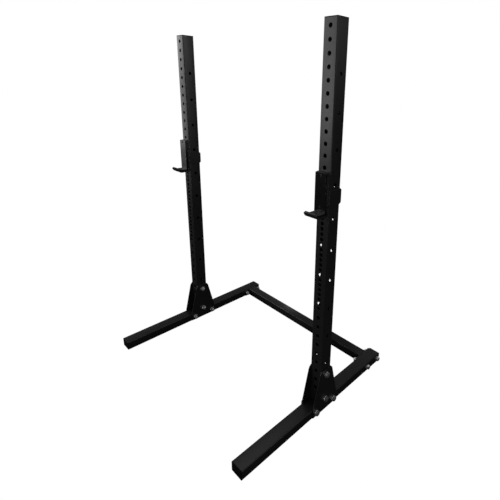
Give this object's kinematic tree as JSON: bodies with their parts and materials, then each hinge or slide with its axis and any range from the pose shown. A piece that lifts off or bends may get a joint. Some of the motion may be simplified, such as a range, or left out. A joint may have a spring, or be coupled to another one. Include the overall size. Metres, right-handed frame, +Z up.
{
  "type": "squat stand",
  "caption": "Free-standing squat stand: drilled square uprights on floor feet, tied by a rear cross member, with a pinned hook-shaped J-cup on each upright to hold a bar.",
  "frame": {"origin": "On the floor, midway between the feet and midway along them.", "axes": "+Z is up, +X runs across the stand towards the side that carries the J-cups' wraps, and +Y runs from the J-cups' side towards the rear cross member."},
  "size_m": [1.2572, 1.044, 1.871],
  "materials": {
    "powder_coat": "semi-matte black powder coat on steel",
    "zinc": "bright zinc-plated steel",
    "black_oxide": "black oxide on steel screws",
    "liner_plastic": "black wear plastic, slightly waxy",
    "cap_plastic": "moulded black plastic"
  },
  "bodies": {
    "stand": {"cross_tube": "powder_coat", "left_flange": "powder_coat", "left_flange_front_bolt": "zinc", "left_flange_front_nut": "zinc", "left_flange_rear_bolt": "zinc", "left_flange_rear_nut": "zinc", "left_foot": "powder_coat", "left_foot_front_cap": "cap_plastic", "left_foot_rear_cap": "cap_plastic", "left_gusset_front_bolt": "zinc", "left_gusset_front_nut": "zinc", "left_gusset_lower_bolt": "zinc", "left_gusset_lower_nut": "zinc", "left_gusset_rear_bolt": "zinc", "left_gusset_rear_nut": "zinc", "left_gusset_upper_bolt": "zinc", "left_gusset_upper_nut": "zinc", "left_inner_gusset": "powder_coat", "left_outer_gusset": "powder_coat", "left_upright": "powder_coat", "left_upright_cap": "cap_plastic", "right_flange": "powder_coat", "right_flange_front_bolt": "zinc", "right_flange_front_nut": "zinc", "right_flange_rear_bolt": "zinc", "right_flange_rear_nut": "zinc", "right_foot": "powder_coat", "right_foot_front_cap": "cap_plastic", "right_foot_rear_cap": "cap_plastic", "right_gusset_front_bolt": "zinc", "right_gusset_front_nut": "zinc", "right_gusset_lower_bolt": "zinc", "right_gusset_lower_nut": "zinc", "right_gusset_rear_bolt": "zinc", "right_gusset_rear_nut": "zinc", "right_gusset_upper_bolt": "zinc", "right_gusset_upper_nut": "zinc", "right_inner_gusset": "powder_coat", "right_outer_gusset": "powder_coat", "right_upright": "powder_coat", "right_upright_cap": "cap_plastic"},
    "right_jcup": {"right_jcup_hook": "powder_coat", "right_jcup_wrap": "powder_coat", "right_jcup_pin": "zinc", "right_jcup_back_liner": "liner_plastic", "right_jcup_seat_liner": "liner_plastic", "right_jcup_upper_screw": "black_oxide", "right_jcup_lower_screw": "black_oxide", "right_jcup_seat_screw": "black_oxide"},
    "left_jcup": {"left_jcup_hook": "powder_coat", "left_jcup_wrap": "powder_coat", "left_jcup_pin": "zinc", "left_jcup_back_liner": "liner_plastic", "left_jcup_seat_liner": "liner_plastic", "left_jcup_upper_screw": "black_oxide", "left_jcup_lower_screw": "black_oxide", "left_jcup_seat_screw": "black_oxide"}
  },
  "joints": [
    {"name": "right_jcup_swing", "type": "hinge", "parent": "stand", "child": "right_jcup", "pos_m": [0.575, -0.03, 1.2281], "axis": [0, -1, 0], "range_deg": [0, 90]},
    {"name": "left_jcup_swing", "type": "hinge", "parent": "stand", "child": "left_jcup", "pos_m": [-0.575, -0.03, 1.2281], "axis": [0, -1, 0], "range_deg": [0, 90]}
  ]
}
